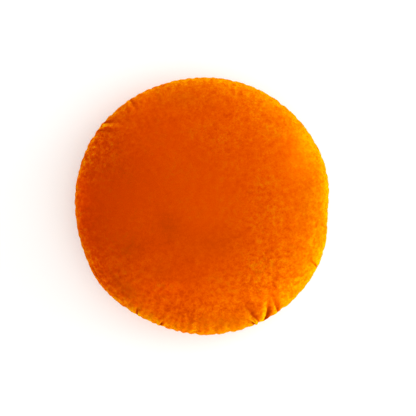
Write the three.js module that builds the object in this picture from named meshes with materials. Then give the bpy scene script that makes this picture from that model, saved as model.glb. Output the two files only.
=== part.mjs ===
// A round floor cushion in short-pile velvet, lying on its back.
// Two round panels are sewn face to face along their edge, turned right side out and
// filled firmly. Nothing is fixed to them, so the cushion is one soft body: a crowned face,
// an edge seam that draws the sides in, gathers and a few creases that run in from that
// seam, and an underside that lies flat on the floor.
// Millimetres, +Z up. The origin is on the floor, under the middle of the cushion.
// Angles are in degrees, counter-clockwise from +X as the face is seen from above.

import * as THREE from "three";

// Driving dimensions
const DIAMETER = 603; // across the widest line, before the seam and its gathers draw it in
const HEIGHT = 165; // floor to the top of the crown
const WIDEST_HEIGHT = 72; // floor to the widest line of the side
const BELLY_DEPTH = 90; // how far the underside would hang below that line, held in the air
const FACE_FULLNESS = 2.3; // 2 is an ellipse, and a larger value has squarer shoulders
const BELLY_FULLNESS = 2.2;
const FLOOR_ROUNDING = 6; // how softly the underside turns up from its flat spot

// The edge seam, with the small gathers that it takes up
const SEAM_DRAW = 4.5; // how far the stitching pulls the edge in
const SEAM_DRAW_REACH = 6; // how far from the stitches that pull dies away
const SEAM_CLIMB = 3; // mean height of the seam above the widest line
const SEAM_SWAY = { at: 190, rise: 6 }; // it climbs towards the face on this side
const GATHERS = 64; // ripples round the edge
const GATHER_DEPTH = 1.3;
const GATHER_LENGTH = 20;

// The filled outline is not a true circle: where it is flat, and where it swells
const OUTLINE = [
  { at: 357, half: 12, out: -9 },
  { at: 318, half: 26, out: 3.5 },
  { at: 248, half: 20, out: -4 },
  { at: 218, half: 10, out: 2.5 },
  { at: 193, half: 18, out: -3.5 },
  { at: 146, half: 12, out: 2 },
  { at: 98, half: 20, out: -1.5 },
];

// Creases that run in from the seam. lean turns a crease off the line to the middle:
// a positive lean puts its inner end further counter-clockwise.
const CREASES = [
  { at: 8.6, lean: 0, length: 24, width: 4, depth: 1.8 },
  { at: 72.5, lean: 0, length: 18, width: 4, depth: 1.8 },
  { at: 123.7, lean: -9, length: 26, width: 4.5, depth: 2.8 },
  { at: 139.3, lean: -21, length: 38, width: 4.5, depth: 4.5 },
  { at: 142.8, lean: -14, length: 34, width: 4, depth: 3.6 },
  { at: 147.1, lean: -15, length: 26, width: 4, depth: 2.8 },
  { at: 156.3, lean: 18, length: 32, width: 4.5, depth: 3.4 },
  { at: 172.9, lean: 2, length: 40, width: 4, depth: 2.2 },
  { at: 239.3, lean: -30, length: 22, width: 4, depth: 4 },
  { at: 250.6, lean: 7, length: 20, width: 4, depth: 5 },
  { at: 262.6, lean: 0, length: 18, width: 4, depth: 2.8 },
  { at: 293.7, lean: -6, length: 36, width: 4, depth: 4 },
  { at: 296.1, lean: -10, length: 62, width: 5, depth: 5 },
  { at: 299.4, lean: 20, length: 62, width: 5, depth: 6.5 },
  { at: 305.1, lean: 21, length: 52, width: 5, depth: 4.6 },
  { at: 331.6, lean: 6, length: 44, width: 4, depth: 2.4 },
  { at: 350.6, lean: 0, length: 22, width: 4.5, depth: 2.6 },
];
const CREASE_LIP = 0.35; // the cloth stands up beside a crease by this share of its depth
const CREASE_ON_BACK = 0.6; // a crease runs this share as far on the back panel
const CREASE_NOTCH = 0.4; // how much of a crease's depth shows as a notch in the outline

// Broad hollows and swells of the filling under the face
const FILLING = [
  { x: -80, y: -70, reach: 105, rise: -3 },
  { x: 50, y: 90, reach: 110, rise: 2 },
  { x: -130, y: 100, reach: 75, rise: 1.5 },
  { x: 130, y: -60, reach: 85, rise: 2 },
];

// The net of points: meridians round the cushion, and stations along each
const MERIDIANS = 288;
const FACE_STATIONS = 10;
const BELLY_STATIONS = 9;
const FACE_CROWDING = 1.6; // above 1, stations stand closer together near the seam
const BELLY_CROWDING = 1.5;
const CREASE_CROWDING = { half: 3.5, boost: 0.8 }; // meridians stand closer at creases

const VELVET = { color: 0xdb4b04, roughness: 0.95, metalness: 0 };

const { cos, sin, abs, exp, hypot, max, tan, PI } = Math;
const radians = THREE.MathUtils.degToRad;
const bell = (distance, half) => exp(-((distance / half) ** 2));

// The signed difference between two angles, from -180 to 180 degrees.
function turnBetween(a, b) {
  return THREE.MathUtils.euclideanModulo(a - b + 180, 360) - 180;
}

// The bare meridian, before any gathers. slope runs from -PI / 2 underneath, through 0 on
// the widest line, to PI / 2 at the crown.
function bareMeridian(slope) {
  const face = slope >= 0;
  const depth = face ? HEIGHT - WIDEST_HEIGHT : BELLY_DEPTH;
  const power = 2 / (face ? FACE_FULLNESS : BELLY_FULLNESS);
  const radius = (DIAMETER / 2) * max(0, cos(slope)) ** power;
  const rise = depth * sin(abs(slope)) ** power;
  return { radius, height: face ? WIDEST_HEIGHT + rise : onFloor(WIDEST_HEIGHT - rise) };
}

// A height that would pass below the floor lies on it, with a soft turn up.
function onFloor(height) {
  if (height >= FLOOR_ROUNDING) return height;
  if (height <= -FLOOR_ROUNDING) return 0;
  return (height + FLOOR_ROUNDING) ** 2 / (4 * FLOOR_ROUNDING);
}

// The way the bare surface faces at a slope, as its outward and upward shares.
function facing(slope) {
  const step = 0.002;
  const before = bareMeridian(max(slope - step, -PI / 2));
  const after = bareMeridian(Math.min(slope + step, PI / 2));
  const outward = after.height - before.height;
  const upward = before.radius - after.radius;
  const length = hypot(outward, upward);
  return { outward: outward / length, upward: upward / length };
}

// The slope at which the seam lies, at an angle round the edge.
function seamSlope(angle) {
  const sway = SEAM_SWAY.rise * cos(radians(angle - SEAM_SWAY.at));
  const rise = SEAM_CLIMB + sway;
  const depth = rise >= 0 ? HEIGHT - WIDEST_HEIGHT : BELLY_DEPTH;
  const fullness = rise >= 0 ? FACE_FULLNESS : BELLY_FULLNESS;
  return Math.sign(rise) * Math.asin((abs(rise) / depth) ** (fullness / 2));
}

// How far the outline stands out from a circle.
function outlineShift(angle) {
  return OUTLINE.reduce(
    (sum, part) => sum + part.out * bell(turnBetween(angle, part.at), part.half),
    0,
  );
}

// The small ripples that the seam gathers up, uneven in pitch and depth.
function gathers(angle, fromSeam) {
  const around = radians(angle);
  const ripple = cos(GATHERS * around + 2.2 * sin(5 * around) + 1.4 * sin(11 * around + 1));
  const strength = 0.65 + 0.35 * sin(3 * around + 2) * sin(7 * around);
  return GATHER_DEPTH * strength * ripple * exp(-fromSeam / GATHER_LENGTH);
}

// The creases, each a soft trough between two low lips.
function creases(angle, fromSeam, radius, share) {
  return CREASES.reduce((sum, crease) => {
    const along = fromSeam / (crease.length * share);
    if (along >= 1.6) return sum;
    const aside = radians(turnBetween(angle, crease.at)) * radius;
    const across = aside - fromSeam * tan(radians(crease.lean));
    const widening = crease.width * (1 + 0.8 * along);
    const trough = bell(across, widening);
    const lips = bell(abs(across) - 1.9 * widening, widening);
    const fade = bell(along, 0.75);
    return sum + crease.depth * fade * (CREASE_LIP * lips - trough);
  }, 0);
}

// The hollows and swells of the filling, at a place on the face.
function filling(x, y) {
  return FILLING.reduce(
    (sum, part) => sum + part.rise * bell(hypot(x - part.x, y - part.y), part.reach),
    0,
  );
}

// One point of the sewn and filled cover.
function coverPoint(angle, slope, onFace) {
  const bare = bareMeridian(slope);
  const seam = bareMeridian(seamSlope(angle));
  const fromSeam = hypot(seam.radius - bare.radius, seam.height - bare.height);
  const lift = gathers(angle, fromSeam) - SEAM_DRAW * bell(fromSeam, SEAM_DRAW_REACH);
  const fold = creases(angle, fromSeam, bare.radius, onFace ? 1 : CREASE_ON_BACK);
  const face = facing(slope);
  const spread = outlineShift(angle) * (bare.radius / (DIAMETER / 2)) ** 2;
  const outward = (lift + CREASE_NOTCH * fold) * face.outward;
  const radius = max(0, bare.radius + spread + outward);
  const x = radius * cos(radians(angle));
  const y = radius * sin(radians(angle));
  const swell = onFace ? filling(x, y) * max(0, face.upward) : 0;
  const z = bare.height + (lift + fold) * face.upward + swell;
  return new THREE.Vector3(x, y, bare.height === 0 ? 0 : max(0, z));
}

// The meridians' angles, closer together where creases crowd the seam.
function meridianAngles() {
  const density = (angle) =>
    CREASES.reduce(
      (sum, crease) =>
        sum +
        CREASE_CROWDING.boost * bell(turnBetween(angle, crease.at), CREASE_CROWDING.half),
      1,
    );
  const step = 0.1;
  const sums = [0];
  for (let angle = 0; angle < 360 - step / 2; angle += step) {
    sums.push(sums.at(-1) + density(angle + step / 2));
  }
  const angles = [];
  for (let meridian = 0, k = 0; meridian < MERIDIANS; meridian++) {
    const wanted = (sums.at(-1) * meridian) / MERIDIANS;
    while (sums[k + 1] <= wanted) k++;
    angles.push(step * (k + (wanted - sums[k]) / (sums[k + 1] - sums[k])));
  }
  return angles;
}

// The slopes of one meridian's stations, from underneath to the crown.
function stationSlopes(angle) {
  const seam = seamSlope(angle);
  const slopes = [];
  for (let k = BELLY_STATIONS; k > 0; k--) {
    const share = (k / BELLY_STATIONS) ** BELLY_CROWDING;
    slopes.push({ slope: seam + (-PI / 2 - seam) * share, onFace: false });
  }
  for (let k = 0; k <= FACE_STATIONS; k++) {
    const share = (k / FACE_STATIONS) ** FACE_CROWDING;
    slopes.push({ slope: seam + (PI / 2 - seam) * share, onFace: true });
  }
  return slopes;
}

// The cover: a plain turned shape gives the closed net, and each of its points then moves
// to its place on the sewn cushion.
function coverGeometry() {
  const plain = stationSlopes(0).map(({ slope }) => {
    const { radius, height } = bareMeridian(slope);
    return new THREE.Vector2(radius, height);
  });
  const cover = new THREE.LatheGeometry(plain, MERIDIANS);
  const position = cover.getAttribute("position");
  const angles = meridianAngles();
  for (let meridian = 0; meridian <= MERIDIANS; meridian++) {
    const angle = angles[meridian % MERIDIANS];
    stationSlopes(angle).forEach(({ slope, onFace }, station) => {
      const point = coverPoint(angle, slope, onFace);
      position.setXYZ(meridian * plain.length + station, point.x, point.y, point.z);
    });
  }
  cover.computeBoundingBox();
  const middle = cover.boundingBox.getCenter(new THREE.Vector3());
  cover.translate(-middle.x, -middle.y, 0);
  cover.computeVertexNormals();
  return cover;
}

const floorCushion = new THREE.Group();
const cushion = new THREE.Mesh(coverGeometry(), new THREE.MeshStandardMaterial(VELVET));
cushion.name = "cushion";
floorCushion.add(cushion);

export default floorCushion;
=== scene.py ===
import math

import bmesh
import bpy
import numpy as np
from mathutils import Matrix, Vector
from mathutils.bvhtree import BVHTree


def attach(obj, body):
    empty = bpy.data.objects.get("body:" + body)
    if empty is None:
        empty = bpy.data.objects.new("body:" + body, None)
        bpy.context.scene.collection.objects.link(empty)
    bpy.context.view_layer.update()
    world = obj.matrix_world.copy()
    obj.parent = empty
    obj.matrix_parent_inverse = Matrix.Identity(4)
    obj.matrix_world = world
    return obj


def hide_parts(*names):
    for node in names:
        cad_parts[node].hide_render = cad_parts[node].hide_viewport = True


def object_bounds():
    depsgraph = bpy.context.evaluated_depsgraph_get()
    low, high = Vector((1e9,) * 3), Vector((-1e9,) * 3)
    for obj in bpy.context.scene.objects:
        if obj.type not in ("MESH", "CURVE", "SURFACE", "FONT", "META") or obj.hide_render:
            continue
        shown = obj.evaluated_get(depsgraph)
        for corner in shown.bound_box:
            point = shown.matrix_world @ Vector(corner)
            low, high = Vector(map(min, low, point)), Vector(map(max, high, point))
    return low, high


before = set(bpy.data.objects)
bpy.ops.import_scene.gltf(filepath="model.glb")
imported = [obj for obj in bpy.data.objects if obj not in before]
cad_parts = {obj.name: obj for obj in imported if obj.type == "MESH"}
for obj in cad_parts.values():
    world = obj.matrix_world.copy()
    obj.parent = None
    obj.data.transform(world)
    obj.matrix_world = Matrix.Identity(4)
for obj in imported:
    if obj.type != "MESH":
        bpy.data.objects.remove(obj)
solid_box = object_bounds()
millimetre = 0.001

# The camera hangs over the cushion and looks straight down, with +Y at the top of the
# picture. It is a little off the cushion's middle, as the photograph was framed.
outline_middle = Vector((2.3, 0.2, 0)) * millimetre
widest_height = 72 * millimetre
picture_width = 968.5 * millimetre
framing_offset = Vector((12.9, -4.9, 0)) * millimetre
camera_data = bpy.data.cameras.new("camera")
camera_data.lens = 90
picture_distance = picture_width * camera_data.lens / camera_data.sensor_width
camera = bpy.data.objects.new("camera", camera_data)
camera.location = outline_middle + framing_offset
camera.location.z = widest_height + picture_distance
bpy.context.collection.objects.link(camera)
bpy.context.scene.camera = camera


# The floor is a wide, level sheet under matt white paint, which shows as an even, pale ground
# with no gloss. The room about it is as pale, and lights the cushion evenly from all round.
def linear(hex_colour):
    """An sRGB hex colour as linear red, green, blue and alpha."""
    channels = [int(hex_colour[i : i + 2], 16) / 255 for i in (1, 3, 5)]
    return [c / 12.92 if c <= 0.04045 else ((c + 0.055) / 1.055) ** 2.4 for c in channels] + [1.0]


floor_reach = 6
floor_drop = 0.5 * millimetre
floor_corners = ((-1, -1), (1, -1), (1, 1), (-1, 1))
floor_mesh = bpy.data.meshes.new("floor")
floor_mesh.from_pydata(
    [(x * floor_reach, y * floor_reach, -floor_drop) for x, y in floor_corners], [], [(0, 1, 2, 3)]
)
floor = bpy.data.objects.new("floor", floor_mesh)
bpy.context.collection.objects.link(floor)
floor_paint = bpy.data.materials.new("matt white floor paint")
floor_paint.use_nodes = True
floor_shader = floor_paint.node_tree.nodes["Principled BSDF"]
floor_shader.inputs["Base Color"].default_value = linear("#f6f5f3")
floor_shader.inputs["Roughness"].default_value = 0.9
floor_mesh.materials.append(floor_paint)

room = bpy.data.worlds.new("pale room")
room.use_nodes = True
room.node_tree.nodes["Background"].inputs["Color"].default_value = linear("#ffffff")
room.node_tree.nodes["Background"].inputs["Strength"].default_value = 1.0
bpy.context.scene.world = room
bpy.context.scene.view_settings.view_transform = "Standard"

# Soft studio light comes from six panels close to the floor. None stands on the left, because
# the photograph's bright edge is the right one. They graze the pile, so it shows its lie.
panel_distance = 1.3
panel_width = 1.4
panel_height = 0.4
for light_name, energy, round_to, rise in (
    # name, power (watts), and where it stands and how high it is lifted (degrees)
    ("right panel", 1.5, 0, 10),
    ("upper right panel", 6.1, 60, 10),
    ("upper panel", 3.9, 125, 10),
    ("lower panel", 10, -77, 10),
    ("lower right panel", 3.6, -50, 10),
    ("high right panel", 5.8, 15, 30),
):
    panel_light = bpy.data.lights.new(light_name, "AREA")
    panel_light.shape = "RECTANGLE"
    panel_light.size = panel_width
    panel_light.size_y = panel_height
    panel_light.energy = energy
    panel = bpy.data.objects.new(light_name, panel_light)
    turn = math.radians(round_to)
    lift = math.radians(rise)
    panel.location = Vector((math.cos(turn), math.sin(turn), math.tan(lift))) * math.cos(lift)
    panel.location *= panel_distance
    panel.rotation_euler = panel.location.to_track_quat("Z", "Y").to_euler()
    panel.visible_camera = False
    bpy.context.collection.objects.link(panel)

# The cover is two round panels of short-pile velvet, sewn face to face along their edge and
# turned right side out. It is drawn here as rings of points from the seam in to the middle of
# each panel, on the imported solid's own surface with its gathers and creases ironed out.
seam_height = 75 * millimetre
seam_sway = 6 * millimetre
seam_sway_at = math.radians(190)
rim_points = 512
rim_band = 64 * millimetre
rim_spacing = 4 * millimetre
field_spacing = 7.7 * millimetre
profile_steps = 96
# Only the solid's broadest waves are kept round the cushion, so its gathers and creases can be
# drawn finer below. Its facets are smoothed along each profile by a bell-shaped blur.
outline_waves = 20
facet_blur = 6
blur_reach = 2.5
# The rings end short of the middle, and drop every other point where they crowd. Both are
# shares of the field's spacing.
last_gap = 0.8
closest_points = 0.66
fewest_points = 8
angles = np.arange(rim_points) * math.tau / rim_points

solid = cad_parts["cushion"].data
solid_surface = BVHTree.FromPolygons(
    [v.co for v in solid.vertices], [tuple(p.vertices) for p in solid.polygons]
)


def ironed(values, waves):
    """Values round the cushion, with all but their broadest waves taken out."""
    spectrum = np.fft.rfft(values, axis=0)
    spectrum[waves:] = 0
    return np.fft.irfft(spectrum, len(values), axis=0)


def rounded_off(outward, height):
    """The same profiles with the solid's facets smoothed away, and both ends kept."""
    across = np.diff(outward, axis=1)
    rise = np.diff(height, axis=1)
    slopes = np.unwrap(np.arctan2(rise, across), axis=1)
    window = np.linspace(-blur_reach, blur_reach, round(2 * blur_reach * facet_blur) + 1)
    weights = np.exp(-(window**2) / 2)
    weights /= weights.sum()
    margin = len(weights) // 2
    padded = np.pad(slopes, ((0, 0), (margin, margin)), mode="reflect", reflect_type="odd")
    columns = range(slopes.shape[1])
    smooth = np.array([padded[:, k : k + len(weights)] @ weights for k in columns]).T
    step = np.hypot(across, rise)
    shares = np.linspace(0, 1, outward.shape[1])
    results = []
    for ends, moves in ((outward, step * np.cos(smooth)), (height, step * np.sin(smooth))):
        walked = ends[:, :1] + np.concatenate([0 * ends[:, :1], np.cumsum(moves, axis=1)], axis=1)
        missed = ends[:, -1:] - walked[:, -1:]
        results.append(walked + missed * shares)
    return results


def panel_profile(up):
    """Points on one panel, evenly spaced from the seam to its middle, for each angle."""
    low, high = solid_box
    reach = (high.x - low.x) / 2
    depth = high.z - seam_height if up > 0 else seam_height
    slopes = np.linspace(0, math.pi / 2, profile_steps * 2 + 1)
    outward, height = [], []
    for angle in angles:
        start = Vector((outline_middle.x, outline_middle.y, seam_height))
        tilt = seam_sway * math.cos(angle - seam_sway_at)
        out_row, height_row = [], []
        for slope in slopes:
            out = reach * math.cos(slope)
            rise = up * depth * math.sin(slope) + tilt * math.cos(slope)
            way = Vector((out * math.cos(angle), out * math.sin(angle), rise))
            hit = solid_surface.ray_cast(start, way.normalized())[0]
            out_row.append((hit.xy - start.xy).length)
            height_row.append(hit.z)
        outward.append(out_row)
        height.append(height_row)
    outward = ironed(np.array(outward), outline_waves)
    height = ironed(np.array(height), outline_waves)
    outward[:, -1] = 0
    height[:, -1] = height[:, -1].mean()
    steps = np.hypot(np.diff(outward, axis=1), np.diff(height, axis=1))
    along = np.concatenate([np.zeros((rim_points, 1)), np.cumsum(steps, axis=1)], axis=1)
    length = along[:, -1].mean()
    shares = np.linspace(0, 1, profile_steps + 1)
    even_out = np.array([np.interp(shares, a / a[-1], o) for a, o in zip(along, outward)])
    even_height = np.array([np.interp(shares, a / a[-1], h) for a, h in zip(along, height)])
    return shares * length, *rounded_off(even_out, even_height)


def ring_plan(length):
    """How far each ring lies from the seam, and how many points it has."""
    rings = [(0.0, rim_points)]
    points = rim_points
    while True:
        distance = rings[-1][0] + (rim_spacing if rings[-1][0] < rim_band else field_spacing)
        left = length - distance
        if left < field_spacing * last_gap:
            return rings
        crowded = math.tau * left / points < field_spacing * closest_points
        if distance > rim_band and crowded and points > fewest_points:
            points //= 2
        rings.append((distance, points))


cover = bmesh.new()
seam_layer = cover.verts.layers.float.new("from_seam")
rim = None
for up in (1, -1):
    distances, outward, height = panel_profile(up)
    rings = []
    for distance, points in ring_plan(distances[-1]):
        if distance == 0 and rim:
            rings.append(rim)
            continue
        ring = []
        for column in range(0, rim_points, rim_points // points):
            out = np.interp(distance, distances, outward[column])
            z = np.interp(distance, distances, height[column])
            place = (
                outline_middle.x + out * math.cos(angles[column]),
                outline_middle.y + out * math.sin(angles[column]),
                z,
            )
            vertex = cover.verts.new(place)
            vertex[seam_layer] = up * distance
            ring.append(vertex)
        rings.append(ring)
    rim = rings[0]
    middle = cover.verts.new((outline_middle.x, outline_middle.y, height[0, -1]))
    middle[seam_layer] = up * distances[-1]
    for outer, inner in zip(rings, rings[1:]):
        halved = len(outer) // len(inner)
        for k in range(len(inner)):
            edge = [outer[(k * halved + j) % len(outer)] for j in range(halved + 1)]
            face = edge + [inner[(k + 1) % len(inner)], inner[k]]
            cover.faces.new(face if up > 0 else face[::-1])
    last = rings[-1]
    for k in range(len(last)):
        face = [last[k], last[(k + 1) % len(last)], middle]
        cover.faces.new(face if up > 0 else face[::-1])

cover_mesh = bpy.data.meshes.new("velvet_cover")
cover.to_mesh(cover_mesh)
cover.free()
cushion = bpy.data.objects.new("velvet_cushion", cover_mesh)
bpy.context.collection.objects.link(cushion)
cover_mesh.shade_smooth()

# The panels were cut fuller than the seam takes up, so the spare velvet buckles into gathers
# beside the seam when the filling puffs it out. The seam and what lies on the floor keep still.
spare_cloth = 0.12
spare_reach = 40 * millimetre
least_fullness = 0.3
fuller_stretches = (
    # at and half width (degrees), extra
    (272, 26, 0.6),
    (142, 18, 0.3),
    (188, 16, 0.2),
)
cloth_pressure = 4
most_swell = 9 * millimetre
settle_frames = 24
start_ripple = 0.25 * millimetre
ripple_seed = 7
filling_hold = 0.1
lying_height = 0.4 * millimetre

sewn = np.array([v.co for v in cover_mesh.vertices])
turns = np.degrees(np.arctan2(sewn[:, 1] - outline_middle.y, sewn[:, 0] - outline_middle.x))
fullness = np.full(len(sewn), least_fullness)
for at, half_width, extra in fuller_stretches:
    apart = (turns - at + 180) % 360 - 180
    fullness += extra * np.exp(-((apart / half_width) ** 2))
fullness = np.minimum(fullness, 1)
cover_mesh.attributes.new("fullness", "FLOAT", "POINT").data.foreach_set("value", fullness)

from_seam = np.zeros(len(sewn))
cover_mesh.attributes["from_seam"].data.foreach_get("value", from_seam)
facing = np.array([v.vector for v in cover_mesh.vertex_normals])
ripples = np.random.default_rng(ripple_seed).normal(0, start_ripple, len(sewn))
cover_mesh.vertices.foreach_set("co", (sewn + ripples[:, None] * facing).ravel())

held = cushion.vertex_groups.new(name="held")
taut = cushion.vertex_groups.new(name="taut")
spare = fullness * np.exp(-((from_seam / spare_reach) ** 2))
for index, distance in enumerate(from_seam):
    still = sewn[index, 2] < lying_height or distance == 0
    held.add([index], 1.0 if still else filling_hold, "REPLACE")
    taut.add([index], 1 - spare[index], "REPLACE")

filling = cushion.modifiers.new("filling", "CLOTH")
cloth = filling.settings
cloth.quality = 6
cloth.mass = 0.3
cloth.tension_stiffness = 25
cloth.compression_stiffness = 8
cloth.shear_stiffness = 6
cloth.bending_stiffness = 0.4
cloth.vertex_group_mass = "held"
cloth.pin_stiffness = 1
cloth.vertex_group_shrink = "taut"
cloth.shrink_min = -spare_cloth
cloth.shrink_max = 0
cloth.use_pressure = True
cloth.uniform_pressure_force = cloth_pressure
cloth.effector_weights.gravity = 0
filling.collision_settings.use_collision = False
filling.point_cache.frame_start = 1
filling.point_cache.frame_end = settle_frames
for number in range(1, settle_frames + 1):
    bpy.context.scene.frame_set(number)
settled_mesh = cushion.evaluated_get(bpy.context.evaluated_depsgraph_get()).to_mesh()
moved = np.array([v.co for v in settled_mesh.vertices]) - sewn
swell = np.maximum(np.linalg.norm(moved, axis=1), 1e-9)
settled = sewn + moved * np.minimum(1, most_swell / swell)[:, None]
settled[:, 2] = np.maximum(settled[:, 2], 0)
cushion.modifiers.remove(filling)
cushion.vertex_groups.clear()
cover_mesh.vertices.foreach_set("co", settled.ravel())
cover_mesh.update()

# The seam is one row of lockstitch, sewn inside out, so only its valley shows. Along it the
# thread takes up the spare velvet in small gathers, and where more was taken up than the
# filling spreads, deeper creases run in from the seam between rounded ridges.
def add_node(tree, kind, inputs=None, **settings):
    """Adds a node with its settings, and gives each named input a value or a link."""
    node = tree.nodes.new(kind)
    for name, value in settings.items():
        setattr(node, name, value)
    for name, value in (inputs or {}).items():
        if isinstance(value, bpy.types.NodeSocket):
            tree.links.new(value, node.inputs[name])
        else:
            node.inputs[name].default_value = value
    return node


crease_rows = (
    # at and lean (degrees), length, width and depth (mm), and the side that its ridge is on
    (8.6, 0, 24, 4, 1.8, 0),
    (72.5, 0, 18, 4, 1.8, 0),
    (124.4, 0, 34, 3.5, 5, -0.4),
    (140.0, -28, 40, 3.8, 6.5, -0.5),
    (143.8, -22, 40, 3.2, 6.5, 0.3),
    (146.8, -18, 24, 3, 4, -0.4),
    (156.3, 18, 32, 4.5, 3.6, 0.3),
    (172.9, 2, 40, 4, 2.2, 0),
    (238.6, -12, 24, 2.8, 12, 0),
    (250.6, 7, 20, 2.8, 14, 0),
    (262.6, 0, 18, 4, 2.8, 0),
    (293.4, -11, 64, 2.2, 3, 0.3),
    (293.9, -12, 22, 2.4, 20, -0.2),
    (295.8, -10, 90, 3.4, 6.6, 0.6),
    (298.7, 28, 60, 4.4, 9, 0.62),
    (305.3, 10, 52, 2.5, 5.4, 0.6),
    (331.9, 8, 44, 3.2, 6, 0.2),
    (350.6, 0, 22, 4.5, 2.6, 0),
)

# A crease opens out on its way in from the seam, and fades out along its length. Its walls
# meet in a rounded floor, with a low ridge on each side. The ridges' sizes are in widths of
# the crease, and their heights together are a share of its depth.
crease_seam_width = 0.65
crease_opening = 0.7
crease_floor = 0.2
crease_fade = 0.75
ridge_distance = 2.5
ridge_width = 2.0
ridge_height = 0.9
crease_wander = 6 * millimetre
wander_size = 22 * millimetre

# At the lower left of the face the cover lies slack, in shallow folds that follow the edge.
slack_rows = (
    # at and half length (degrees), how far in, width and depth (mm)
    (212.5, 5, 6, 3, 2.6),
    (222, 5, 14, 4, 1.4),
    (213, 6, 28, 5, 1.3),
    (219, 8, 46, 9, 1.8),
    (226, 5, 34, 6, 1.1),
)

crease_tree = bpy.data.node_groups.new("crease", "GeometryNodeTree")
for name in (
    "Turn",
    "Radius",
    "Inward",
    "Wander",
    "At",
    "Lean",
    "Length",
    "Width",
    "Depth",
    "Ridge side",
):
    crease_tree.interface.new_socket(name, in_out="INPUT", socket_type="NodeSocketFloat")
crease_tree.interface.new_socket("Offset", in_out="OUTPUT", socket_type="NodeSocketFloat")
given = add_node(crease_tree, "NodeGroupInput").outputs
turned = add_node(
    crease_tree, "ShaderNodeMath", {0: given["Turn"], 1: given["At"]}, operation="SUBTRACT"
).outputs[0]
turned = add_node(
    crease_tree, "ShaderNodeMath", {0: turned, 1: math.pi, 2: -math.pi}, operation="WRAP"
).outputs[0]
across = add_node(
    crease_tree,
    "ShaderNodeMath",
    {0: turned, 1: given["Radius"], 2: given["Wander"]},
    operation="MULTIPLY_ADD",
).outputs[0]
slant = add_node(crease_tree, "ShaderNodeMath", {0: given["Lean"]}, operation="TANGENT").outputs[0]
slant = add_node(
    crease_tree, "ShaderNodeMath", {0: slant, 1: given["Inward"]}, operation="MULTIPLY"
).outputs[0]
across = add_node(
    crease_tree, "ShaderNodeMath", {0: across, 1: slant}, operation="SUBTRACT"
).outputs[0]
along = add_node(
    crease_tree, "ShaderNodeMath", {0: given["Inward"], 1: given["Length"]}, operation="DIVIDE"
).outputs[0]
spread = add_node(
    crease_tree,
    "ShaderNodeMath",
    {0: along, 1: crease_opening, 2: crease_seam_width},
    operation="MULTIPLY_ADD",
).outputs[0]
wide = add_node(
    crease_tree, "ShaderNodeMath", {0: spread, 1: given["Width"]}, operation="MULTIPLY"
).outputs[0]
steps_across = add_node(
    crease_tree, "ShaderNodeMath", {0: across, 1: wide}, operation="DIVIDE"
).outputs[0]
squared = add_node(
    crease_tree,
    "ShaderNodeMath",
    {0: steps_across, 1: steps_across, 2: crease_floor},
    operation="MULTIPLY_ADD",
).outputs[0]
beside = add_node(crease_tree, "ShaderNodeMath", {0: squared}, operation="SQRT").outputs[0]
slack = add_node(
    crease_tree, "ShaderNodeMath", {0: steps_across, 1: given["Ridge side"]}, operation="MULTIPLY"
).outputs[0]
trough = add_node(
    crease_tree, "ShaderNodeMath", {0: slack, 1: beside}, operation="SUBTRACT"
).outputs[0]
trough = add_node(crease_tree, "ShaderNodeMath", {0: trough}, operation="EXPONENT").outputs[0]
profile = add_node(
    crease_tree, "ShaderNodeMath", {0: trough, 1: -1.0}, operation="MULTIPLY"
).outputs[0]
for side in (-1, 1):
    ridge = add_node(
        crease_tree,
        "ShaderNodeMath",
        {0: steps_across, 1: 1 / ridge_width, 2: -side * ridge_distance / ridge_width},
        operation="MULTIPLY_ADD",
    ).outputs[0]
    ridge = add_node(
        crease_tree, "ShaderNodeMath", {0: ridge, 1: ridge}, operation="MULTIPLY"
    ).outputs[0]
    ridge = add_node(
        crease_tree, "ShaderNodeMath", {0: ridge, 1: -1.0}, operation="MULTIPLY"
    ).outputs[0]
    ridge = add_node(crease_tree, "ShaderNodeMath", {0: ridge}, operation="EXPONENT").outputs[0]
    tall = add_node(
        crease_tree,
        "ShaderNodeMath",
        {0: given["Ridge side"], 1: -side * ridge_height, 2: ridge_height / 2},
        operation="MULTIPLY_ADD",
    ).outputs[0]
    profile = add_node(
        crease_tree, "ShaderNodeMath", {0: ridge, 1: tall, 2: profile}, operation="MULTIPLY_ADD"
    ).outputs[0]
fade = add_node(
    crease_tree, "ShaderNodeMath", {0: along, 1: crease_fade}, operation="DIVIDE"
).outputs[0]
fade = add_node(crease_tree, "ShaderNodeMath", {0: fade, 1: 2.0}, operation="POWER").outputs[0]
fade = add_node(crease_tree, "ShaderNodeMath", {0: fade, 1: -1.0}, operation="MULTIPLY").outputs[0]
fade = add_node(crease_tree, "ShaderNodeMath", {0: fade}, operation="EXPONENT").outputs[0]
deep = add_node(
    crease_tree, "ShaderNodeMath", {0: fade, 1: given["Depth"]}, operation="MULTIPLY"
).outputs[0]
offset = add_node(
    crease_tree, "ShaderNodeMath", {0: deep, 1: profile}, operation="MULTIPLY"
).outputs[0]
add_node(crease_tree, "NodeGroupOutput", {"Offset": offset})

# The wall is the strip above the seam that stands almost upright, and the creases are measured
# in from its top. Distances run along the cloth, and folds reach less far in on the back.
seam_sizes = {
    "Middle X": outline_middle.x,
    "Middle Y": outline_middle.y,
    "Wall": 26 * millimetre,
    "Seam draw": 1.6 * millimetre,
    "Seam reach": 3 * millimetre,
    "Gathers": 96,
    "Gather depth": 5.5 * millimetre,
    "Gather reach": 54 * millimetre,
    "Pinched": 0.6,
    "Pinch reach": 22 * millimetre,
    "Seed": 5,
}
back_shortening = 0.67
seam_tree = bpy.data.node_groups.new("seam, gathers and creases", "GeometryNodeTree")
seam_tree.interface.new_socket("Geometry", in_out="OUTPUT", socket_type="NodeSocketGeometry")
seam_tree.interface.new_socket("Geometry", in_out="INPUT", socket_type="NodeSocketGeometry")
seam_sockets = {
    name: seam_tree.interface.new_socket(name, in_out="INPUT", socket_type="NodeSocketFloat")
    for name in seam_sizes
}
given = add_node(seam_tree, "NodeGroupInput").outputs
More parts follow.
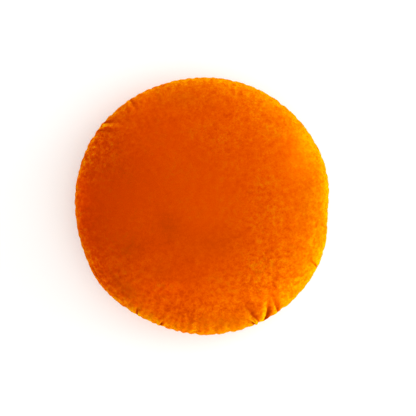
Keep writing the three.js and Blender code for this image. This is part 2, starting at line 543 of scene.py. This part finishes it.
# Where each point lies: how far round, on which panel, and how far in from the seam
rounded = add_node(
    seam_tree, "GeometryNodeSubdivisionSurface", {"Mesh": given["Geometry"], "Level": 1}
).outputs["Mesh"]
middle = add_node(
    seam_tree, "ShaderNodeCombineXYZ", {"X": given["Middle X"], "Y": given["Middle Y"]}
).outputs[0]
place = add_node(seam_tree, "GeometryNodeInputPosition").outputs[0]
spoke = add_node(
    seam_tree, "ShaderNodeVectorMath", {0: place, 1: middle}, operation="SUBTRACT"
).outputs[0]
spoke = add_node(
    seam_tree, "ShaderNodeVectorMath", {0: spoke, 1: (1, 1, 0)}, operation="MULTIPLY"
).outputs[0]
radius = add_node(
    seam_tree, "ShaderNodeVectorMath", {0: spoke}, operation="LENGTH"
).outputs["Value"]
spoke_parts = add_node(seam_tree, "ShaderNodeSeparateXYZ", {0: spoke}).outputs
turn = add_node(
    seam_tree, "ShaderNodeMath", {0: spoke_parts["Y"], 1: spoke_parts["X"]}, operation="ARCTAN2"
).outputs[0]
from_seam_field = add_node(
    seam_tree, "GeometryNodeInputNamedAttribute", {"Name": "from_seam"}, data_type="FLOAT"
).outputs["Attribute"]
on_back = add_node(
    seam_tree, "ShaderNodeMath", {0: from_seam_field, 1: 0.0}, operation="LESS_THAN"
).outputs[0]
back_share = add_node(
    seam_tree,
    "ShaderNodeMath",
    {0: on_back, 1: back_shortening, 2: 1.0},
    operation="MULTIPLY_ADD",
).outputs[0]
inward = add_node(
    seam_tree, "ShaderNodeMath", {0: from_seam_field}, operation="ABSOLUTE"
).outputs[0]
inward = add_node(
    seam_tree, "ShaderNodeMath", {0: inward, 1: back_share}, operation="MULTIPLY"
).outputs[0]
past_wall = add_node(
    seam_tree, "ShaderNodeMath", {0: inward, 1: given["Wall"]}, operation="SUBTRACT"
).outputs[0]
past_wall = add_node(
    seam_tree, "ShaderNodeMath", {0: past_wall, 1: 0.0}, operation="MAXIMUM"
).outputs[0]

# The creases and folds, which wander a little from their lines
wander_noise = add_node(
    seam_tree,
    "ShaderNodeTexNoise",
    {"Vector": place, "W": given["Seed"], "Scale": 1 / wander_size, "Detail": 2.0},
    noise_dimensions="4D",
).outputs["Fac"]
wander = add_node(
    seam_tree, "ShaderNodeMath", {0: wander_noise, 1: 0.5}, operation="SUBTRACT"
).outputs[0]
wander = add_node(
    seam_tree, "ShaderNodeMath", {0: wander, 1: crease_wander}, operation="MULTIPLY"
).outputs[0]
in_from = add_node(
    seam_tree, "ShaderNodeMath", {0: past_wall, 1: wander}, operation="ADD"
).outputs[0]

creased = None
for at, lean, length, width, depth, ridge_side in crease_rows:
    crease = add_node(
        seam_tree,
        "GeometryNodeGroup",
        {
            "Turn": turn,
            "Radius": radius,
            "Inward": past_wall,
            "Wander": wander,
            "At": math.radians(at),
            "Lean": math.radians(lean),
            "Length": length * millimetre,
            "Width": width * millimetre,
            "Depth": depth * millimetre,
            "Ridge side": ridge_side,
        },
        node_tree=crease_tree,
    ).outputs["Offset"]
    if creased:
        crease = add_node(
            seam_tree, "ShaderNodeMath", {0: creased, 1: crease}, operation="ADD"
        ).outputs[0]
    creased = crease

for at, half_length, far_in, width, depth in slack_rows:
    turned = add_node(
        seam_tree, "ShaderNodeMath", {0: turn, 1: math.radians(at)}, operation="SUBTRACT"
    ).outputs[0]
    turned = add_node(
        seam_tree, "ShaderNodeMath", {0: turned, 1: math.pi, 2: -math.pi}, operation="WRAP"
    ).outputs[0]
    away = add_node(seam_tree, "ShaderNodeCombineXYZ", {"X": turned, "Y": in_from}).outputs[0]
    away = add_node(
        seam_tree,
        "ShaderNodeVectorMath",
        {0: away, 1: (0, far_in * millimetre, 0)},
        operation="SUBTRACT",
    ).outputs[0]
    away = add_node(
        seam_tree,
        "ShaderNodeVectorMath",
        {0: away, 1: (1 / math.radians(half_length), 1 / (width * millimetre), 0)},
        operation="MULTIPLY",
    ).outputs[0]
    away = add_node(
        seam_tree, "ShaderNodeVectorMath", {0: away, 1: away}, operation="DOT_PRODUCT"
    ).outputs["Value"]
    away = add_node(seam_tree, "ShaderNodeMath", {0: away, 1: -1.0}, operation="MULTIPLY").outputs[0]
    near = add_node(seam_tree, "ShaderNodeMath", {0: away}, operation="EXPONENT").outputs[0]
    creased = add_node(
        seam_tree,
        "ShaderNodeMath",
        {0: near, 1: -depth * millimetre, 2: creased},
        operation="MULTIPLY_ADD",
    ).outputs[0]

# The gathers are even in number but not in place or depth: they sway along the seam, and some
# stretches took up more velvet than others. Between two lobes lies a sharp valley.
gather_sway = 5.0
sways_round = 5.0
stretches_round = 3.0
noise_low = 0.3
noise_high = 0.65
shallowest = 0.35
deepest = 1.25
valley_level = 0.65
way_out = add_node(seam_tree, "ShaderNodeVectorMath", {0: spoke}, operation="NORMALIZE").outputs[0]
sway = add_node(
    seam_tree,
    "ShaderNodeTexNoise",
    {"Vector": way_out, "W": given["Seed"], "Scale": sways_round, "Detail": 1.0},
    noise_dimensions="4D",
).outputs["Fac"]
sway = add_node(
    seam_tree, "ShaderNodeMath", {0: sway, 1: gather_sway}, operation="MULTIPLY"
).outputs[0]
half_gathers = add_node(
    seam_tree, "ShaderNodeMath", {0: given["Gathers"], 1: 2.0}, operation="DIVIDE"
).outputs[0]
phase = add_node(
    seam_tree, "ShaderNodeMath", {0: turn, 1: half_gathers, 2: sway}, operation="MULTIPLY_ADD"
).outputs[0]
lobe = add_node(seam_tree, "ShaderNodeMath", {0: phase}, operation="SINE").outputs[0]
lobe = add_node(seam_tree, "ShaderNodeMath", {0: lobe}, operation="ABSOLUTE").outputs[0]
valley = add_node(
    seam_tree, "ShaderNodeMath", {0: lobe, 1: valley_level}, operation="SUBTRACT"
).outputs[0]
patchy = add_node(
    seam_tree,
    "ShaderNodeTexNoise",
    {"Vector": way_out, "W": given["Seed"], "Scale": stretches_round, "Detail": 2.0},
    noise_dimensions="4D",
).outputs["Fac"]
patchy = add_node(
    seam_tree,
    "ShaderNodeMapRange",
    {
        "Value": patchy,
        "From Min": noise_low,
        "From Max": noise_high,
        "To Min": shallowest,
        "To Max": deepest,
    },
).outputs["Result"]
gather_fade = add_node(
    seam_tree, "ShaderNodeMath", {0: inward, 1: given["Gather reach"]}, operation="DIVIDE"
).outputs[0]
gather_fade = add_node(
    seam_tree, "ShaderNodeMath", {0: gather_fade, 1: 2.0}, operation="POWER"
).outputs[0]
gather_fade = add_node(
    seam_tree, "ShaderNodeMath", {0: gather_fade, 1: -1.0}, operation="MULTIPLY"
).outputs[0]
gather_fade = add_node(
    seam_tree, "ShaderNodeMath", {0: gather_fade}, operation="EXPONENT"
).outputs[0]
gathered = add_node(
    seam_tree, "ShaderNodeMath", {0: valley, 1: given["Gather depth"]}, operation="MULTIPLY"
).outputs[0]
gathered = add_node(
    seam_tree, "ShaderNodeMath", {0: gathered, 1: patchy}, operation="MULTIPLY"
).outputs[0]
gathered = add_node(
    seam_tree, "ShaderNodeMath", {0: gathered, 1: gather_fade}, operation="MULTIPLY"
).outputs[0]
fullness_field = add_node(
    seam_tree, "GeometryNodeInputNamedAttribute", {"Name": "fullness"}, data_type="FLOAT"
).outputs["Attribute"]
gathered = add_node(
    seam_tree, "ShaderNodeMath", {0: gathered, 1: fullness_field}, operation="MULTIPLY"
).outputs[0]

# The valley that the thread draws in along the seam
seam_fade = add_node(
    seam_tree, "ShaderNodeMath", {0: inward, 1: given["Seam reach"]}, operation="DIVIDE"
).outputs[0]
seam_fade = add_node(
    seam_tree, "ShaderNodeMath", {0: seam_fade, 1: -1.0}, operation="MULTIPLY"
).outputs[0]
seam_fade = add_node(seam_tree, "ShaderNodeMath", {0: seam_fade}, operation="EXPONENT").outputs[0]
seam_fade = add_node(
    seam_tree, "ShaderNodeMath", {0: seam_fade, 1: given["Seam draw"]}, operation="MULTIPLY"
).outputs[0]
sunk = add_node(seam_tree, "ShaderNodeMath", {0: seam_fade, 1: -1.0}, operation="MULTIPLY").outputs[0]

# Creases and gathers move the cloth mostly up and down, and notch the outline by these shares.
# Past the full depths a hollow counts as wholly folded, and a ridge as wholly raised.
crease_notch = 0.12
gather_notch = 0.35
fold_full_depth = 7 * millimetre
ridge_full_height = 8 * millimetre
facing_field = add_node(seam_tree, "GeometryNodeInputNormal").outputs["Normal"]
crease_way = add_node(
    seam_tree,
    "ShaderNodeVectorMath",
    {0: facing_field, 1: (crease_notch, crease_notch, 1)},
    operation="MULTIPLY",
).outputs[0]
crease_move = add_node(
    seam_tree, "ShaderNodeVectorMath", {0: crease_way, "Scale": creased}, operation="SCALE"
).outputs[0]
gather_way = add_node(
    seam_tree,
    "ShaderNodeVectorMath",
    {0: facing_field, 1: (gather_notch, gather_notch, 1)},
    operation="MULTIPLY",
).outputs[0]
gather_move = add_node(
    seam_tree, "ShaderNodeVectorMath", {0: gather_way, "Scale": gathered}, operation="SCALE"
).outputs[0]
seam_move = add_node(
    seam_tree, "ShaderNodeVectorMath", {0: facing_field, "Scale": sunk}, operation="SCALE"
).outputs[0]
move = add_node(
    seam_tree, "ShaderNodeVectorMath", {0: crease_move, 1: gather_move}, operation="ADD"
).outputs[0]
move = add_node(
    seam_tree, "ShaderNodeVectorMath", {0: move, 1: seam_move}, operation="ADD"
).outputs[0]
drawn_in = add_node(
    seam_tree, "GeometryNodeSetPosition", {"Geometry": rounded, "Offset": move}
).outputs["Geometry"]
folded = add_node(
    seam_tree,
    "ShaderNodeMapRange",
    {"Value": creased, "From Min": 0.0, "From Max": -fold_full_depth},
).outputs["Result"]
raised = add_node(
    seam_tree,
    "ShaderNodeMapRange",
    {"Value": creased, "From Min": 0.0, "From Max": ridge_full_height},
).outputs["Result"]

# How far the cloth is pinched, beside the seam or in a fold. The velvet reads these shares.
pinch = add_node(
    seam_tree, "ShaderNodeMath", {0: inward, 1: given["Pinch reach"]}, operation="DIVIDE"
).outputs[0]
pinch = add_node(seam_tree, "ShaderNodeMath", {0: pinch, 1: 2.0}, operation="POWER").outputs[0]
pinch = add_node(seam_tree, "ShaderNodeMath", {0: pinch, 1: -1.0}, operation="MULTIPLY").outputs[0]
pinch = add_node(seam_tree, "ShaderNodeMath", {0: pinch}, operation="EXPONENT").outputs[0]
pinch = add_node(
    seam_tree, "ShaderNodeMath", {0: pinch, 1: given["Pinched"]}, operation="MULTIPLY"
).outputs[0]
pinch = add_node(
    seam_tree, "ShaderNodeMath", {0: pinch, 1: folded}, operation="MAXIMUM"
).outputs[0]
for name, value in (("folded", folded), ("raised", raised), ("pinched", pinch)):
    drawn_in = add_node(
        seam_tree,
        "GeometryNodeStoreNamedAttribute",
        {"Geometry": drawn_in, "Name": name, "Value": value},
        data_type="FLOAT",
        domain="POINT",
    ).outputs["Geometry"]
real = add_node(
    seam_tree, "GeometryNodeRealizeInstances", {"Geometry": drawn_in}
).outputs["Geometry"]
clothed = add_node(seam_tree, "GeometryNodeSetMaterial", {"Geometry": real})
add_node(seam_tree, "NodeGroupOutput", {"Geometry": clothed.outputs["Geometry"]})

# The velvet is plain polyester: cut pile about a millimetre long on a knitted ground, dyed
# orange. It is dark and red where the eye looks down into the pile, and has a yellow sheen
# where the pile leans away, so every lie that a hand has brushed into it shows as a mark.

# The pile is too fine to show. What is drawn is the marks in it, which are 5 to 9 mm across at
# these sizes of noise, and patches as broad as a palm. Both turn the pile from its nap.
mark_size = 11 * millimetre
patch_size = 75 * millimetre
mark_turn = 4.4
patch_turn = 1.8
evenly_marked = 0.9
patch_marking = 1.5
patch_lightening = 0.6
noise_middle = 0.5
middle_tone = 0.5
# The nap runs to the right. The pile leans along it on the open face, and more in a light spot.
# Beside the seam and in a fold it leans away from the seam, and on a ridge towards it.
nap = (1.0, 0.0, 0.0)
nap_lean = 0.5
spot_lean = 0.8
pinch_lean = 0.9
fold_lean = 1.2
raised_lean = -0.5
pinch_turnover = 12 * millimetre
# The pile's colour where it is marked dark and where it is marked light, and the painted shade that
# darkens it deep in a fold
dark_pile_colour = "#a60000"
light_pile_colour = "#d81e00"
fold_shade_colour = "#a40000"
sheen_colour = "#ffd800"
pile_marks_and_painted_light = (
    # where a hand has brushed the pile, and along the rim where light and shade are painted in:
    # middle x and y, half width and height (mm), how much lighter, and how much more marked
    (40, 155, 60, 50, 0, 0.5),
    (140, 0, 45, 80, 0, 0.7),
    (140, -150, 60, 85, 0, 0.7),
    (-15, -245, 120, 45, 0.1, 0.4),
    (-190, -130, 60, 80, -0.05, 0.5),
    (-190, 80, 50, 35, -0.05, 0.6),
    (-215, 145, 40, 40, -0.1, 0.9),
    (-262, 105, 20, 40, -0.15, 0.8),
    (5, -20, 50, 110, 0.05, -0.6),
    (-95, 160, 60, 60, 0.1, -0.5),
    (215, 105, 45, 60, 0.1, -0.5),
    (-40, 245, 80, 28, -0.25, 0),
    (-70, -45, 32, 36, -0.28, 0),
    (-160, -93, 35, 30, -0.25, 0.2),
    (0, -90, 70, 35, -0.2, 0),
    (-150, -258, 45, 28, -0.3, 0),
    (-95, -145, 28, 22, -0.2, 0),
    (250, 10, 30, 60, -0.25, 0),
    (60, -75, 45, 35, -0.15, 0),
    (-175, -190, 30, 40, -0.2, 0),
    (-85, -185, 40, 18, 0.3, 0),
    (240, 145, 40, 50, 0.35, 0),
    (-280, 10, 32, 140, 0.6, -0.2),
    (-245, 165, 35, 55, 0.4, 0),
    (-245, -160, 35, 55, 0.4, 0),
    (-145, 245, 45, 35, 0.25, 0),
    (40, -265, 130, 40, -0.45, 0.2),
    (185, -205, 45, 30, 0.35, -0.4),
)
velvet = bpy.data.materials.new("polyester cut-pile velvet")
velvet.use_nodes = True
nodes = velvet.node_tree
shader = nodes.nodes["Principled BSDF"]
place = add_node(nodes, "ShaderNodeTexCoord").outputs["Object"]
# Each spot makes the colour lighter or darker. Those along the rim are painted light and shade:
# lighter at the left edge, darker along the bottom and at the right edge.
lightness = 0.0
marked = evenly_marked
for x, y, half_width, half_height, lighter, more_marked in pile_marks_and_painted_light:
    away = add_node(
        nodes,
        "ShaderNodeVectorMath",
        {0: place, 1: (x * millimetre, y * millimetre, 0)},
        operation="SUBTRACT",
    ).outputs[0]
    away = add_node(
        nodes,
        "ShaderNodeVectorMath",
        {0: away, 1: (1 / half_width / millimetre, 1 / half_height / millimetre, 0)},
        operation="MULTIPLY",
    ).outputs[0]
    away = add_node(
        nodes, "ShaderNodeVectorMath", {0: away, 1: away}, operation="DOT_PRODUCT"
    ).outputs["Value"]
    away = add_node(nodes, "ShaderNodeMath", {0: away, 1: -1.0}, operation="MULTIPLY").outputs[0]
    near = add_node(nodes, "ShaderNodeMath", {0: away}, operation="EXPONENT").outputs[0]
    lightness = add_node(
        nodes,
        "ShaderNodeMath",
        {0: near, 1: lighter, 2: lightness},
        operation="MULTIPLY_ADD",
    ).outputs[0]
    marked = add_node(
        nodes,
        "ShaderNodeMath",
        {0: near, 1: more_marked, 2: marked},
        operation="MULTIPLY_ADD",
    ).outputs[0]
patches = add_node(
    nodes,
    "ShaderNodeTexNoise",
    {"Vector": place, "Scale": 1 / patch_size, "Detail": 5.0, "Roughness": 0.8},
).outputs
broad = add_node(
    nodes, "ShaderNodeMath", {0: patches["Fac"], 1: noise_middle}, operation="SUBTRACT"
).outputs[0]
marked = add_node(
    nodes, "ShaderNodeMath", {0: broad, 1: patch_marking, 2: marked}, operation="MULTIPLY_ADD"
).outputs[0]
lightness = add_node(
    nodes,
    "ShaderNodeMath",
    {0: broad, 1: patch_lightening, 2: lightness},
    operation="MULTIPLY_ADD",
).outputs[0]
marks = add_node(
    nodes,
    "ShaderNodeTexNoise",
    {"Vector": place, "Scale": 1 / mark_size, "Detail": 4.0, "Roughness": 0.85},
).outputs
mark = add_node(
    nodes, "ShaderNodeMath", {0: marks["Fac"], 1: noise_middle}, operation="SUBTRACT"
).outputs[0]
mark = add_node(nodes, "ShaderNodeMath", {0: mark, 1: marked}, operation="MULTIPLY").outputs[0]
tone = add_node(nodes, "ShaderNodeMath", {0: mark, 1: middle_tone}, operation="ADD").outputs[0]
tone = add_node(nodes, "ShaderNodeMath", {0: tone, 1: lightness}, operation="ADD").outputs[0]
colour = add_node(nodes, "ShaderNodeMix", {"Factor": tone}, data_type="RGBA")
colour.inputs["A"].default_value = linear(dark_pile_colour)
colour.inputs["B"].default_value = linear(light_pile_colour)
pinched = add_node(nodes, "ShaderNodeAttribute", attribute_name="pinched").outputs["Fac"]
folded = add_node(nodes, "ShaderNodeAttribute", attribute_name="folded").outputs["Fac"]
raised = add_node(nodes, "ShaderNodeAttribute", attribute_name="raised").outputs["Fac"]
# Deeper in a fold the colour goes over to the darker red: painted shade, standing in for the fold's
# own shadow.
painted_fold_shade = add_node(nodes, "ShaderNodeMix", {"Factor": folded}, data_type="RGBA")
nodes.links.new(colour.outputs["Result"], painted_fold_shade.inputs["A"])
painted_fold_shade.inputs["B"].default_value = linear(fold_shade_colour)
nodes.links.new(painted_fold_shade.outputs["Result"], shader.inputs["Base Color"])

# Which way the pile lies, and how far over
brushed = add_node(
    nodes,
    "ShaderNodeVectorMath",
    {0: marks["Color"], 1: (noise_middle,) * 3},
    operation="SUBTRACT",
).outputs[0]
brushed = add_node(
    nodes, "ShaderNodeVectorMath", {0: brushed, "Scale": marked}, operation="SCALE"
).outputs[0]
brushed = add_node(
    nodes,
    "ShaderNodeVectorMath",
    {0: brushed, 1: (mark_turn,) * 3, 2: nap},
    operation="MULTIPLY_ADD",
).outputs[0]
swept = add_node(
    nodes,
    "ShaderNodeVectorMath",
    {0: patches["Color"], 1: (noise_middle,) * 3},
    operation="SUBTRACT",
).outputs[0]
brushed = add_node(
    nodes,
    "ShaderNodeVectorMath",
    {0: swept, 1: (patch_turn,) * 3, 2: brushed},
    operation="MULTIPLY_ADD",
).outputs[0]
lean = add_node(
    nodes, "ShaderNodeMath", {0: lightness, 1: spot_lean, 2: nap_lean}, operation="MULTIPLY_ADD"
).outputs[0]
open_share = add_node(
    nodes, "ShaderNodeMath", {0: 1.0, 1: pinched}, operation="SUBTRACT"
).outputs[0]
lean = add_node(nodes, "ShaderNodeMath", {0: lean, 1: open_share}, operation="MULTIPLY").outputs[0]
brushed = add_node(
    nodes, "ShaderNodeVectorMath", {0: brushed, "Scale": lean}, operation="SCALE"
).outputs[0]
above_seam = add_node(nodes, "ShaderNodeSeparateXYZ", {0: place}).outputs["Z"]
from_seam_way = add_node(
    nodes,
    "ShaderNodeMapRange",
    {
        "Value": above_seam,
        "From Min": seam_height - pinch_turnover,
        "From Max": seam_height + pinch_turnover,
        "To Min": -1.0,
        "To Max": 1.0,
    },
).outputs["Result"]
stands = add_node(
    nodes, "ShaderNodeMath", {0: pinched, 1: pinch_lean}, operation="MULTIPLY"
).outputs[0]
stands = add_node(
    nodes, "ShaderNodeMath", {0: folded, 1: fold_lean, 2: stands}, operation="MULTIPLY_ADD"
).outputs[0]
stands = add_node(
    nodes, "ShaderNodeMath", {0: raised, 1: raised_lean, 2: stands}, operation="MULTIPLY_ADD"
).outputs[0]
from_seam_way = add_node(
    nodes, "ShaderNodeMath", {0: from_seam_way, 1: stands}, operation="MULTIPLY"
).outputs[0]
pinched_way = add_node(nodes, "ShaderNodeCombineXYZ", {"Z": from_seam_way}).outputs[0]
brushed = add_node(
    nodes, "ShaderNodeVectorMath", {0: brushed, 1: pinched_way}, operation="ADD"
).outputs[0]

# The sheen looks the way that the pile points: out of the face, and over along its lean.
normal = add_node(nodes, "ShaderNodeNewGeometry").outputs["Normal"]
share = add_node(
    nodes, "ShaderNodeVectorMath", {0: normal, 1: brushed}, operation="DOT_PRODUCT"
).outputs["Value"]
out_of_face = add_node(
    nodes, "ShaderNodeVectorMath", {0: normal, "Scale": share}, operation="SCALE"
).outputs[0]
along_face = add_node(
    nodes, "ShaderNodeVectorMath", {0: brushed, 1: out_of_face}, operation="SUBTRACT"
).outputs[0]
leaning = add_node(
    nodes, "ShaderNodeVectorMath", {0: along_face, 1: normal}, operation="ADD"
).outputs[0]
unit = add_node(nodes, "ShaderNodeVectorMath", {0: leaning}, operation="NORMALIZE").outputs[0]
nodes.links.new(unit, shader.inputs["Normal"])
shader.inputs["Roughness"].default_value = 0.9
shader.inputs["Specular IOR Level"].default_value = 0.0
shader.inputs["Sheen Weight"].default_value = 1.0
shader.inputs["Sheen Roughness"].default_value = 0.6
shader.inputs["Sheen Tint"].default_value = linear(sheen_colour)

# The cover is finished by drawing in its seam and giving it its velvet. That leaves one plain
# mesh, closed round the filling, of which nothing may sink under the floor.
clothed.inputs["Material"].default_value = velvet
sewing = cushion.modifiers.new("seam, gathers and creases", "NODES")
sewing.node_group = seam_tree
for name, value in seam_sizes.items():
    sewing[seam_sockets[name].identifier] = float(value)
finished = bpy.data.meshes.new_from_object(
    cushion.evaluated_get(bpy.context.evaluated_depsgraph_get()),
    preserve_all_data_layers=True,
    depsgraph=bpy.context.evaluated_depsgraph_get(),
)
cushion.modifiers.remove(sewing)
places = np.zeros(len(finished.vertices) * 3)
finished.vertices.foreach_get("co", places)
places[2::3] = np.maximum(places[2::3], 0)
finished.vertices.foreach_set("co", places)
finished.shade_smooth()
cushion.data = finished

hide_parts("cushion")
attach(cushion, "root")
